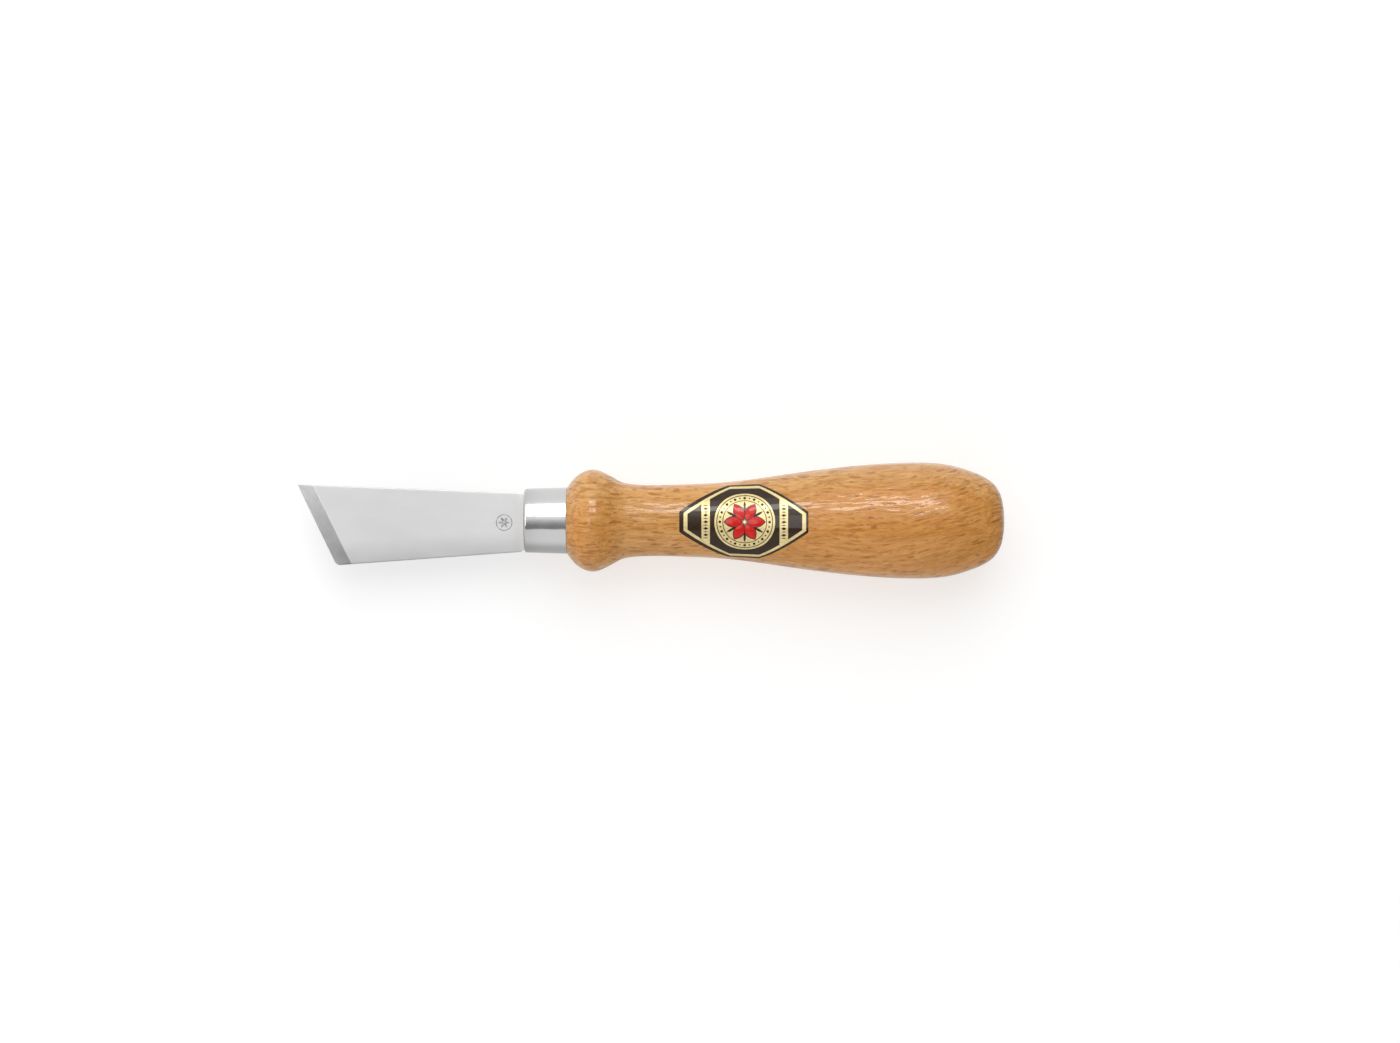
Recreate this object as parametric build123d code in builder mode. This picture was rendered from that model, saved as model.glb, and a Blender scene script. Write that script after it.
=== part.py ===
from build123d import *
import math
import os

# A lino cutter: a skew-edged steel blade whose tang is driven into a turned beech handle.
# It comes apart on a bench into four pieces, and nothing on it moves:
#     blade    flat steel blade with a double-bevelled edge, narrowed behind its shoulders to a tang
#     ferrule  plated steel collar, which keeps the wood from splitting as the tang goes in
#     handle   turned beech grip, with a tenon for the ferrule and a socket for the tang
#     label    thin foil label, wrapped over the waist of the grip
#
# Lengths are in millimetres. X runs along the handle's axis, with the cutting edge towards -X and
# the butt towards +X. The blade lies level and the label faces up, towards +Z. The origin is on the
# axis, halfway between the blade's tip and the butt.

os.makedirs("parts", exist_ok=True)

# ---- Lengths along the axis ----
BLADE_LENGTH = 55.2
FERRULE_LENGTH = 10.35
HANDLE_LENGTH = 105.95
OVERALL_LENGTH = BLADE_LENGTH + FERRULE_LENGTH + HANDLE_LENGTH

TIP_X = -OVERALL_LENGTH / 2
ROOT_X = TIP_X + BLADE_LENGTH
SHOULDER_X = ROOT_X + FERRULE_LENGTH

# ---- Blade ----
BLADE_THICKNESS = 2.0
HALF_THICKNESS = BLADE_THICKNESS / 2
ROOT_ABOVE_AXIS = 6.63
ROOT_BELOW_AXIS = 7.56
UPPER_FLARE = 2.2  # degrees by which the upper edge leaves the axis towards the tip
LOWER_FLARE = 4.15
SKEW = 25.9  # degrees between the cutting edge and a square cut
BEVEL_WIDTH = 3.5
BEVEL_BLEND = 0.15  # how far each side of the bevel's inner edge the grinding has softened it
EDGE_LAND = 0.05  # what honing leaves between the two bevels
HEEL_RADIUS = 1.5
ROOT_CORNER_RADIUS = 1.25
# The strip along each long edge where the flat eases down: its width, the slope in degrees that it
# reaches, and the radius that rounds the edge beyond it
UPPER_CROWN = (0.6, 3.0, 0.1)
LOWER_CROWN = (5.6, 4.8, 0.25)
CUT_MARGIN = 4.0  # how far the ground-off metal is drawn past the blade

# ---- Tang: drawn a little thinner than the blade, so the blade's flats end at its shoulders ----
TANG_LENGTH = 48.0
TANG_THICKNESS = 1.7
TANG_WIDTH = 7.0
TANG_END_WIDTH = 4.2
TANG_POINT_LENGTH = 4.0
TANG_FILLET = 1.0
TANG_OVERLAP = 1.0  # how far the tang's drawing runs on inside the blade
ROUNDING_ROOM = 0.1  # width left beyond the fillets there

# ---- Mark struck in the blade: a six-petalled compass rosette inside a ring ----
MARK_FROM_ROOT = 4.9
MARK_BELOW_AXIS = 0.5
MARK_RADIUS = 2.0
MARK_LINE = 0.18
MARK_DEPTH = 0.1
PETAL_COUNT = 6
PETAL_LENGTH = 1.45
PETAL_HALF_WIDTH = 0.27

# ---- Ferrule ----
FERRULE_FRONT_RADIUS = 7.75
FERRULE_REAR_RADIUS = 8.05
FERRULE_WALL = 0.7
FERRULE_EDGE_RADIUS = 0.65
LIP_RADIUS = 6.3
LIP_ROUNDING = 0.3

# ---- Handle ----
# The turned outline, as (distance behind the ferrule, radius). The bead stops the hand, the grip
# runs from a slender waist to a swelling that fills the palm, and the butt is rounded.
BEAD_OUTLINE = [(0, 8.05), (1.3, 9.78), (3.5, 11.62), (6.7, 12.4), (9.3, 11.52), (12.1, 10.02), (16.6, 8.8)]
GRIP_OUTLINE = [
    (16.6, 8.8), (26.6, 8.73), (38.6, 9.32), (54.6, 11.45), (70.6, 13.37), (85.6, 14.1), (96.6, 12.52),
]
BUTT_OUTLINE = [(96.6, 12.52), (101.2, 10.7), (104.1, 8.4), (105.45, 5.85), (HANDLE_LENGTH, 3.3)]
BEAD_FACE_ANGLE = 53  # degrees that the outline makes with the axis, at the ends of its curves
WAIST_ANGLE = -5
SWELLING_END_ANGLE = -19
BUTT_EDGE_ANGLE = -79
PILOT_RADIUS = 1.5
PILOT_DEPTH = 58.0

# ---- Label: an octagon, longer than wide, given by its sizes before it is wrapped ----
LABEL_FROM_SHOULDER = 42.8
LABEL_TURN = 2.0  # degrees that its middle lies off the top of the grip, towards the heel's side
LABEL_THICKNESS = 0.12
LABEL_HALF_LENGTH = 15.5
LABEL_HALF_WIDTH = 10.85
LABEL_SIDE_HALF_LENGTH = 3.7
LABEL_END_HALF_WIDTH = 2.52
LABEL_FRONT_RADII = (8.75, 8.97, 9.37)  # the grip's radius at the label's end, halfway, and side corner
LABEL_REAR_RADII = (11.97, 11.13, 10.26)

# ---- The blade's corners ----
UPPER_SLOPE = math.tan(math.radians(UPPER_FLARE))
LOWER_SLOPE = math.tan(math.radians(LOWER_FLARE))
SKEW_SLOPE = math.tan(math.radians(SKEW))
TIP = Vector(TIP_X, ROOT_ABOVE_AXIS + BLADE_LENGTH * UPPER_SLOPE)
DROP_AT_TIP = TIP.Y + ROOT_BELOW_AXIS + BLADE_LENGTH * LOWER_SLOPE
HEEL_DROP = DROP_AT_TIP / (1 + SKEW_SLOPE * LOWER_SLOPE)
HEEL = TIP + Vector(HEEL_DROP * SKEW_SLOPE, -HEEL_DROP)
UPPER_ROOT = Vector(ROOT_X, ROOT_ABOVE_AXIS)
LOWER_ROOT = Vector(ROOT_X, -ROOT_BELOW_AXIS)


def heading(degrees):
    """The direction that makes this angle with the axis, in the plane of the outline."""
    return (math.cos(math.radians(degrees)), math.sin(math.radians(degrees)))


def outline_curve(points, start_angle, end_angle, lift=0.0):
    """One curve of the handle's outline, which may be drawn a little outside the wood."""
    placed = [(SHOULDER_X + distance, radius + lift) for distance, radius in points]
    return Spline(*placed, tangents=[heading(start_angle), heading(end_angle)])


def plane_across_edge(start, end, turn_inward):
    """A plane square to one edge of the blade. Its x runs in over the blade from that edge."""
    along = (end - start).normalized()
    return Plane(origin=start, x_dir=along.rotate(Axis.Z, turn_inward), z_dir=along)


def crown_waste(start, end, turn_inward, width, slope, rounding):
    """The metal ground off both faces along a long edge, so that each flat eases into the edge."""
    fall = (width - rounding) * math.tan(math.radians(slope / 2))
    above = HALF_THICKNESS + CUT_MARGIN
    with BuildPart() as waste:
        with BuildSketch(plane_across_edge(start, end, turn_inward)):
            with BuildLine():
                low_point = (rounding, HALF_THICKNESS - fall)
                crown = TangentArc((width, HALF_THICKNESS), low_point, tangent=(-1, 0))
                edge = (0, HALF_THICKNESS - fall - rounding)
                TangentArc(low_point, edge, tangent=crown % 1)
                Polyline(edge, (-CUT_MARGIN, edge[1]), (-CUT_MARGIN, above))
                Polyline((-CUT_MARGIN, above), (width, above), crown @ 0)
            make_face()
        extrude(amount=(end - start).length + CUT_MARGIN)
        mirror(about=Plane.XY)
    return waste.part


# ---- The metal ground off both faces to make the cutting edge ----
with BuildPart() as bevel_waste:
    with BuildSketch(plane_across_edge(TIP, HEEL, 90).offset(-CUT_MARGIN)):
        bevel_rise = (HALF_THICKNESS - EDGE_LAND / 2) / BEVEL_WIDTH
        with BuildLine():
            edge = (0, EDGE_LAND / 2)
            blend_start = (BEVEL_WIDTH - BEVEL_BLEND, HALF_THICKNESS - BEVEL_BLEND * bevel_rise)
            blend_end = (BEVEL_WIDTH + BEVEL_BLEND, HALF_THICKNESS)
            bevel = Line(edge, blend_start)
            TangentArc(blend_start, blend_end, tangent=bevel % 1)
            Polyline(
                blend_end,
                (blend_end[0], HALF_THICKNESS + CUT_MARGIN),
                (-CUT_MARGIN, HALF_THICKNESS + CUT_MARGIN),
                (-CUT_MARGIN, edge[1]),
                edge,
            )
        make_face()
    extrude(amount=(HEEL - TIP).length + 2 * CUT_MARGIN)
    mirror(about=Plane.XY)

# ---- One petal of the mark ----
with BuildSketch() as petal:
    with BuildLine():
        ThreePointArc((0, 0), (PETAL_LENGTH / 2, PETAL_HALF_WIDTH), (PETAL_LENGTH, 0))
        ThreePointArc((0, 0), (PETAL_LENGTH / 2, -PETAL_HALF_WIDTH), (PETAL_LENGTH, 0))
    make_face()

# ---- Blade ----
with BuildPart() as blade:
    with BuildSketch():
        with BuildLine():
            Polyline(TIP, HEEL, LOWER_ROOT, UPPER_ROOT, close=True)
        make_face()
        fillet(vertices().sort_by_distance(HEEL)[0], HEEL_RADIUS)
        fillet(vertices().sort_by_distance(LOWER_ROOT)[0], ROOT_CORNER_RADIUS)
        fillet(vertices().sort_by_distance(UPPER_ROOT)[0], ROOT_CORNER_RADIUS)
    extrude(amount=HALF_THICKNESS, both=True)
    add(crown_waste(UPPER_ROOT, TIP, 90, *UPPER_CROWN), mode=Mode.SUBTRACT)
    add(crown_waste(LOWER_ROOT, HEEL, -90, *LOWER_CROWN), mode=Mode.SUBTRACT)
    add(bevel_waste.part, mode=Mode.SUBTRACT)
    with BuildSketch(Plane.XY.offset(HALF_THICKNESS)):
        with Locations((ROOT_X - MARK_FROM_ROOT, -MARK_BELOW_AXIS)):
            Circle(MARK_RADIUS)
            Circle(MARK_RADIUS - MARK_LINE, mode=Mode.SUBTRACT)
            with PolarLocations(0, PETAL_COUNT):
                add(petal.sketch)
    extrude(amount=-MARK_DEPTH, mode=Mode.SUBTRACT)
    with BuildSketch():
        with BuildLine():
            Polyline(
                (ROOT_X, -TANG_WIDTH / 2),
                (ROOT_X + TANG_LENGTH - TANG_POINT_LENGTH, -TANG_END_WIDTH / 2),
                (ROOT_X + TANG_LENGTH, 0),
                (ROOT_X + TANG_LENGTH - TANG_POINT_LENGTH, TANG_END_WIDTH / 2),
                (ROOT_X, TANG_WIDTH / 2),
                close=True,
            )
        make_face()
        with Locations((ROOT_X - TANG_OVERLAP / 2, 0)):
            Rectangle(TANG_OVERLAP, TANG_WIDTH + 2 * TANG_FILLET + ROUNDING_ROOM)
        for side in (-1, 1):
            fillet(vertices().sort_by_distance((ROOT_X, side * TANG_WIDTH / 2))[0], TANG_FILLET)
    extrude(amount=TANG_THICKNESS / 2, both=True)

# ---- Ferrule ----
with BuildPart() as ferrule:
    with BuildSketch():
        with BuildLine():
            Polyline(
                (ROOT_X, LIP_RADIUS),
                (ROOT_X, FERRULE_FRONT_RADIUS),
                (SHOULDER_X, FERRULE_REAR_RADIUS),
                (SHOULDER_X, FERRULE_REAR_RADIUS - FERRULE_WALL),
                (ROOT_X + FERRULE_WALL, FERRULE_FRONT_RADIUS - FERRULE_WALL),
                (ROOT_X + FERRULE_WALL, LIP_RADIUS),
                close=True,
            )
        make_face()
        fillet(vertices().sort_by_distance((ROOT_X, FERRULE_FRONT_RADIUS))[0], FERRULE_EDGE_RADIUS)
        fillet(vertices().sort_by_distance((ROOT_X, LIP_RADIUS))[0], LIP_ROUNDING)
    revolve(axis=Axis.X)

# ---- Handle ----
with BuildPart() as handle:
    with BuildSketch():
        with BuildLine():
            Polyline(
                (ROOT_X + FERRULE_WALL, 0),
                (ROOT_X + FERRULE_WALL, FERRULE_FRONT_RADIUS - FERRULE_WALL),
                (SHOULDER_X, FERRULE_REAR_RADIUS - FERRULE_WALL),
                (SHOULDER_X, BEAD_OUTLINE[0][1]),
            )
            outline_curve(BEAD_OUTLINE, BEAD_FACE_ANGLE, WAIST_ANGLE)
            outline_curve(GRIP_OUTLINE, WAIST_ANGLE, SWELLING_END_ANGLE)
            butt = outline_curve(BUTT_OUTLINE, SWELLING_END_ANGLE, BUTT_EDGE_ANGLE)
            Polyline(butt @ 1, ((butt @ 1).X, 0), (ROOT_X + FERRULE_WALL, 0))
        make_face()
    revolve(axis=Axis.X)
    with Locations(Plane(origin=(ROOT_X + FERRULE_WALL, 0, 0), z_dir=(-1, 0, 0))):
        Hole(PILOT_RADIUS, PILOT_DEPTH)
    add(blade.part, mode=Mode.SUBTRACT)

# ---- Label ----
def wrapped(along, half_width, radius):
    """Where a point of the label's outline comes to lie, seen from above, once it is wrapped."""
    return (along, radius * math.sin(half_width / radius))


def label_edge(direction, radii):
    """The end, halfway point and side corner of one of the label's slanted edges."""
    halfway_along = (LABEL_HALF_LENGTH + LABEL_SIDE_HALF_LENGTH) / 2
    halfway_width = (LABEL_END_HALF_WIDTH + LABEL_HALF_WIDTH) / 2
    return (
        wrapped(direction * LABEL_HALF_LENGTH, LABEL_END_HALF_WIDTH, radii[0]),
        wrapped(direction * halfway_along, halfway_width, radii[1]),
        wrapped(direction * LABEL_SIDE_HALF_LENGTH, LABEL_HALF_WIDTH, radii[2]),
    )


with BuildPart() as label:
    with BuildSketch():
        with BuildLine():
            inside = outline_curve(GRIP_OUTLINE, WAIST_ANGLE, SWELLING_END_ANGLE)
            outside = outline_curve(GRIP_OUTLINE, WAIST_ANGLE, SWELLING_END_ANGLE, LABEL_THICKNESS)
            Line(inside @ 0, outside @ 0)
            Line(inside @ 1, outside @ 1)
        make_face()
    revolve(axis=Axis.X)
    with BuildSketch(Plane((SHOULDER_X + LABEL_FROM_SHOULDER, 0, 0)).rotated((LABEL_TURN, 0, 0))):
        with BuildLine():
            front = ThreePointArc(*label_edge(-1, LABEL_FRONT_RADII))
            rear = ThreePointArc(*label_edge(1, LABEL_REAR_RADII))
            Line((-LABEL_HALF_LENGTH, 0), front @ 0)
            Line(front @ 1, rear @ 1)
            Line(rear @ 0, (LABEL_HALF_LENGTH, 0))
            mirror(about=Plane.XZ)
        make_face()
    extrude(amount=2 * LABEL_HALF_WIDTH, mode=Mode.INTERSECT)

blade.part.label = "blade"
ferrule.part.label = "ferrule"
handle.part.label = "handle"
label.part.label = "label"

export_step(blade.part, "parts/blade.step")
export_step(ferrule.part, "parts/ferrule.step")
export_step(handle.part, "parts/handle.step")
export_step(label.part, "parts/label.step")
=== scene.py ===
import math

import bmesh
import bpy
import numpy as np
from mathutils import Matrix, Vector


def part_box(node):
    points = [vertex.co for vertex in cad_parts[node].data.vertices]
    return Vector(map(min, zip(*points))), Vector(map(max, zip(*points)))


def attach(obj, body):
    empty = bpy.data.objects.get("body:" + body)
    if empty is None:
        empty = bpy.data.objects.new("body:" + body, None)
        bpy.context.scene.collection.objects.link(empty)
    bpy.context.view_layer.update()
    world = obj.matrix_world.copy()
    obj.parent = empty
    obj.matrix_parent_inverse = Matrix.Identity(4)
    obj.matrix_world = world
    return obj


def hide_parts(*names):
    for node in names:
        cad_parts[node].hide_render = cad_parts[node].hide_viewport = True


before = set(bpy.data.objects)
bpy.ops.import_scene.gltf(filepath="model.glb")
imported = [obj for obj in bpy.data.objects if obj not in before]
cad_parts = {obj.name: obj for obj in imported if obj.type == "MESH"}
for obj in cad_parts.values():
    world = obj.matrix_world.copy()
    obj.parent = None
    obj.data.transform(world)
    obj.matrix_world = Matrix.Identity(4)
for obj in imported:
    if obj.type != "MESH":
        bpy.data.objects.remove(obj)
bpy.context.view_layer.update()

# A lino cutter: a bright steel blade in a plated ferrule, and a turned, lacquered beech handle with
# a printed foil label. Lengths are in millimetres until a mesh is finished. X runs along the handle
# with the cutting edge towards -X, and the blade's marked face and the label look up, along +Z.

MM = 0.001
NEAR = 0.01

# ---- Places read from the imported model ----
def packed_box(node):
    """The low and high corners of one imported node."""
    return [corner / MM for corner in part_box(node)]


BLADE_LOW, BLADE_HIGH = packed_box("blade")
FERRULE_LOW, FERRULE_HIGH = packed_box("ferrule")
LABEL_LOW, LABEL_HIGH = packed_box("label")
TIP_X = BLADE_LOW.x
ROOT_X = FERRULE_LOW.x
SHOULDER_X = FERRULE_HIGH.x
BUTT_X = packed_box("handle")[1].x
LABEL_X = (LABEL_LOW.x + LABEL_HIGH.x) / 2

# ---- Blade ----
HALF_THICKNESS = BLADE_HIGH.z
ROOT_BELOW_AXIS = 7.56
UPPER_FLARE = math.radians(2.2)
LOWER_FLARE = math.radians(4.15)
SKEW = math.radians(25.9)
BEVEL_WIDTH = 3.5
BEVEL_BLEND = 0.15  # how far each side of the bevel's inner edge the grinding has softened it
# Lines drawn this far from the cutting edge, which are close together where the grinding is softened.
BEVEL_LINES = (0.9, 1.8, 2.7, 3.35, 3.4, 3.45, 3.5, 3.55, 3.6, 3.65)
EDGE_LAND = 0.05  # what honing leaves between the two bevels
HEEL_RADIUS = 1.5
TIP_RADIUS = 0.08
ROOT_CORNER_RADIUS = 1.25
# Width, slope and edge rounding of the strip where the flat eases down, and the lines drawn along it.
UPPER_CROWN = (0.6, math.radians(3.0), 0.1)
UPPER_LINES = (0.008, 0.03, 0.06, 0.1, 0.25, 0.4, 0.6)
LOWER_CROWN = (5.6, math.radians(4.8), 0.25)
LOWER_LINES = (0.02, 0.06, 0.11, 0.17, 0.25, 0.55, 1.0, 1.6, 2.3, 3.1, 4.0, 4.8, 5.6)
ROOT_CROWN = (0.16, math.radians(3.0), 0.15)
ROOT_LINES = (0.012, 0.04, 0.08, 0.15)
CROSS_LINE_STEP = 2.5
PAINTED_LIGHT_SPAN = (4.0, 32.0)  # distances from the ferrule over which the blade's face is painted paler towards it: painted light that evens out its lighting
# Painted light: over these distances from the ferrule the face is painted paler still, to lift the shade
# beside it.
PAINTED_ROOT_LIGHT_SPAN = (0.0, 2.2)
TANG_WIDTH = 7.0
TANG_END_WIDTH = 4.2
TANG_POINT_LENGTH = 4.0
TANG_HALF_THICKNESS = 0.85
TANG_OVERLAP = 1.0
SOCKET_CLEARANCE = 0.02

# ---- Mark struck in the blade ----
MARK_FROM_ROOT = 4.9
MARK_BELOW_AXIS = 0.5
MARK_RADIUS = 2.0
MARK_LINE = 0.18
MARK_DEPTH = 0.1
MARK_RING_STEPS = 64
PETAL_COUNT = 6
MARK_PETAL = (0.12, 1.45, 0.27)  # where it starts and ends, and its half width, as for every petal

# ---- Ferrule ----
FERRULE_FRONT_RADIUS = 7.75
FERRULE_REAR_RADIUS = 8.05
FERRULE_WALL = 0.7
FERRULE_EDGE_RADIUS = 0.65
FERRULE_REAR_BREAK = 0.12
LIP_RADIUS = 6.3
LIP_ROUNDING = 0.3
# Painted shade: the plating is painted darker over this length behind its front, towards the blade.
PAINTED_SHADE_LENGTH = 6.5

# ---- Handle ----
PILOT_RADIUS = 1.5
PILOT_DEPTH = 58.0
TURNING_SEGMENTS = 168
SKIN_LEAST_RADIUS = 7.0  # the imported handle's points nearer the axis than this are inside the ferrule
BUTT_STRETCH = 5.0  # except over this length of the butt, down to its flat
BUTT_FLAT_RADIUS = 3.0
FINE_STEP = 0.1
RING_EVERY = 5
SMOOTHING_PASSES = 20

# ---- Beech ----
GRAIN_RUN_OUT_X = 45.0  # behind this the grain bends down through the handle
GRAIN_RUN_OUT = 0.004
PITH = (25.0, -70.0)  # the middle of the tree, off the handle's axis along Y and Z
REDDER_SHADE_SPAN = (81.0, 85.5)  # distances from the pith over which the wood is painted redder: painted shade on the top and on the side away from the key light
WAIST = (-13.0, -7.0, 26.0, 10.0)  # the paler stretch at the waist: where it begins, then where it ends
MIDDLE_OF_NOISE = (0.5, 0.5, 0.5)

# ---- Label, in unrolled lengths: u runs along the handle and v round it ----
LABEL_HALF_LENGTH = 15.5
LABEL_END_HALF_WIDTH = 2.52
LABEL_HALF_WIDTH = 10.85
LABEL_SIDE_HALF_LENGTH = 3.7
LABEL_TURN = math.radians(2.0)
LABEL_BORDER = 0.78
LABEL_FRAME = 0.95
SLANTED_FRAME = 0.72
PRINT_SHIFT = 0.25
FIELD_HALF_LENGTH = 8.37
FIELD_HALF_WIDTH = 9.3
BAND_OUTER = 10.4
DISC_RADIUS = 7.3
DISC_STEPS = 96
GRID_U = 0.8
GRID_V = 0.45
SINK = 0.01  # how far each plate stands in the one below it
BURIED = -0.04
BACKING_TOP = 0.04
GILDING_TOP = 0.06
INK_TOP = 0.08
DISC_TOP = 0.1
DISC_INK_TOP = 0.115
ENAMEL_DOME = 0.09
RIM_WIDTH = 0.42
RIM_TOP = 0.125
RING_LINES = ((6.8, 0.2), (5.35, 0.18))
BEAD_COUNT = 32
BEAD_RING = 5.98
BEAD_RADII = (0.34, 0.2)
BEAD_STEPS = 12
BAND_ORNAMENTS = 5
BAND_SPACING = 0.8
BAND_LOZENGES = ((0.62, 0.36), (0.62, 0.13))
PETAL = (0.55, 4.85, 1.16)
PETAL_BORDER = (0.3, 5.1, 1.4)
SEPAL = (2.5, 5.1, 0.3)
GOLD_PALE = (0.91, 0.76, 0.39)
GOLD_DEEP = (0.77, 0.61, 0.27)
BLACK_PALE = (0.042, 0.020, 0.008)
BLACK_DEEP = (0.028, 0.013, 0.005)
RED_PALE = (0.84, 0.014, 0.006)
RED_DEEP = (0.60, 0.008, 0.004)

# ---- Shading: the sharpest angle, in degrees, that is still drawn smooth ----
TURNED_SMOOTH = 35
BLADE_SMOOTH = 30
LABEL_SMOOTH = 40

# ---- Studio: the ground in millimetres, the camera in metres ----
BEAD_LENGTH = 15.0  # how far behind the ferrule the handle's bead may touch the ground
CONTACT_PASSES = 6  # the points of contact move a little with the ground's slope, and settle in a few passes
GROUND_HALF_SIZE = 4000.0
GROUND_THICKNESS = 20.0
GROUND_LINES = (-600.0, -200.0, 200.0, 600.0)
CAMERA_LENS = 100.0
CAMERA_SENSOR = 36.0
CAMERA_REACH = 20.0
CAMERA_PLACE = (0.0121, -0.00024, 0.945)


# ---------------------------------------------------------------- mesh helpers
def tangent_arc(before, corner, after, radius, steps):
    """Points of the arc that rounds one corner of an outline."""
    before, corner, after = (Vector(p) for p in (before, corner, after))
    back = (before - corner).normalized()
    ahead = (after - corner).normalized()
    half = back.angle(ahead) / 2
    reach = radius / math.tan(half)
    centre = corner + (back + ahead).normalized() * (radius / math.sin(half))
    start = corner + back * reach - centre
    end = corner + ahead * reach - centre
    sweep = start.angle_signed(end)
    return [
        centre + Matrix.Rotation(-sweep * i / steps, 2) @ start
        for i in range(steps + 1)
    ]


def rounded(corners, steps=8):
    """A closed outline from rows of x, y and corner radius."""
    outline = []
    count = len(corners)
    for i, (x, y, radius) in enumerate(corners):
        if radius:
            before = corners[i - 1][:2]
            after = corners[(i + 1) % count][:2]
            outline += tangent_arc(before, (x, y), after, radius, steps)
        else:
            outline.append(Vector((x, y)))
    return outline


def circle(centre, radius, steps):
    """A closed round outline."""
    turn = 2 * math.pi / steps
    return [
        (centre[0] + radius * math.cos(i * turn), centre[1] + radius * math.sin(i * turn))
        for i in range(steps)
    ]


def petal(centre, start, end, half_width, angle, steps=14):
    """A pointed petal's outline, which starts and ends these distances from the centre."""
    cosine, sine = math.cos(angle), math.sin(angle)
    sides = []
    for side in (1, -1):
        for i in range(steps):
            share = i / steps if side == 1 else 1 - i / steps
            along = start + (end - start) * share
            across = side * half_width * 4 * share * (1 - share)
            sides.append((
                centre[0] + along * cosine - across * sine,
                centre[1] + along * sine + across * cosine,
            ))
    return sides


def flat_mesh(*loops):
    """A flat mesh that fills the first outline, with the others as holes."""
    flat = bmesh.new()
    edges = []
    for loop in loops:
        verts = [flat.verts.new((p[0], p[1], 0)) for p in loop]
        edges += [flat.edges.new((verts[i - 1], verts[i])) for i in range(len(verts))]
    if len(loops) == 1:
        flat.faces.new(verts)
    else:
        bmesh.ops.triangle_fill(flat, edges=edges, use_beauty=True)
    for face in flat.faces:
        face.normal_update()
        if face.normal.z < 0:
            face.normal_flip()
    return flat


def cut_line(flat, point, normal):
    """Adds an edge to a flat mesh wherever this line crosses it."""
    bmesh.ops.bisect_plane(
        flat,
        geom=flat.verts[:] + flat.edges[:] + flat.faces[:],
        dist=1e-4,
        plane_co=(point[0], point[1], 0),
        plane_no=(normal[0], normal[1], 0),
    )


def add_slab(solid, flat, top, bottom, material_index=0):
    """Adds a closed piece whose faces are the flat mesh moved by top() and bottom()."""
    flat.verts.index_update()
    upper = [solid.verts.new(top(v.co.x, v.co.y)) for v in flat.verts]
    lower = [solid.verts.new(bottom(v.co.x, v.co.y)) for v in flat.verts]
    made = []
    for face in flat.faces:
        order = [v.index for v in face.verts]
        made.append(solid.faces.new([upper[i] for i in order]))
        made.append(solid.faces.new([lower[i] for i in reversed(order)]))
    for edge in flat.edges:
        if len(edge.link_loops) == 1:
            a = edge.link_loops[0].vert.index
            b = edge.link_loops[0].link_loop_next.vert.index
            made.append(solid.faces.new((lower[a], lower[b], upper[b], upper[a])))
    for face in made:
        face.material_index = material_index
    flat.free()


def turned(outline, segments, closed=False):
    """A mesh turned about the X axis from (x, radius) points."""
    solid = bmesh.new()
    rings = []
    for x, radius in outline:
        if radius < 1e-6:
            rings.append([solid.verts.new((x, 0, 0))] * segments)
            continue
        turn = 2 * math.pi / segments
        rings.append([
            solid.verts.new((x, radius * math.sin(i * turn), radius * math.cos(i * turn)))
            for i in range(segments)
        ])
    pairs = list(zip(rings, rings[1:]))
    if closed:
        pairs.append((rings[-1], rings[0]))
    for ring, following in pairs:
        for i in range(segments):
            corners = [ring[i - 1], ring[i], following[i], following[i - 1]]
            solid.faces.new(list(dict.fromkeys(corners)))
    bmesh.ops.recalc_face_normals(solid, faces=solid.faces[:])
    return solid


def make_object(name, solid, *materials):
    """A scene object from a finished bmesh, still in millimetres."""
    mesh = bpy.data.meshes.new(name)
    solid.to_mesh(mesh)
    solid.free()
    for material in materials:
        mesh.materials.append(material)
    made = bpy.data.objects.new(name, mesh)
    bpy.context.scene.collection.objects.link(made)
    return made


def apply_modifiers(piece):
    """Puts what the modifiers make into the piece's own mesh."""
    bpy.context.view_layer.update()
    graph = bpy.context.evaluated_depsgraph_get()
    mesh = bpy.data.meshes.new_from_object(piece.evaluated_get(graph))
    piece.modifiers.clear()
    piece.data = mesh


def combine(piece, tool, operation):
    """Joins a tool to a piece or cuts it away. The new faces keep the tool's material."""
    change = piece.modifiers.new("combine", "BOOLEAN")
    change.object = tool
    change.operation = operation
    change.solver = "EXACT"
    change.material_mode = "TRANSFER"
    apply_modifiers(piece)
    bpy.data.objects.remove(tool)


def finish_piece(piece, smooth_angle, node, weighted=False):
    """Brings a piece to metres, sets its shading, and ties it to the frame."""
    piece.data.transform(Matrix.Scale(MM, 4))
    piece.data.polygons.foreach_set("use_smooth", [True] * len(piece.data.polygons))
    piece.data.set_sharp_from_angle(angle=math.radians(smooth_angle))
    if weighted:
        normals = piece.modifiers.new("normals", "WEIGHTED_NORMAL")
        normals.keep_sharp = True
        apply_modifiers(piece)
    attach(piece, "root")
    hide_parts(node)


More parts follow.
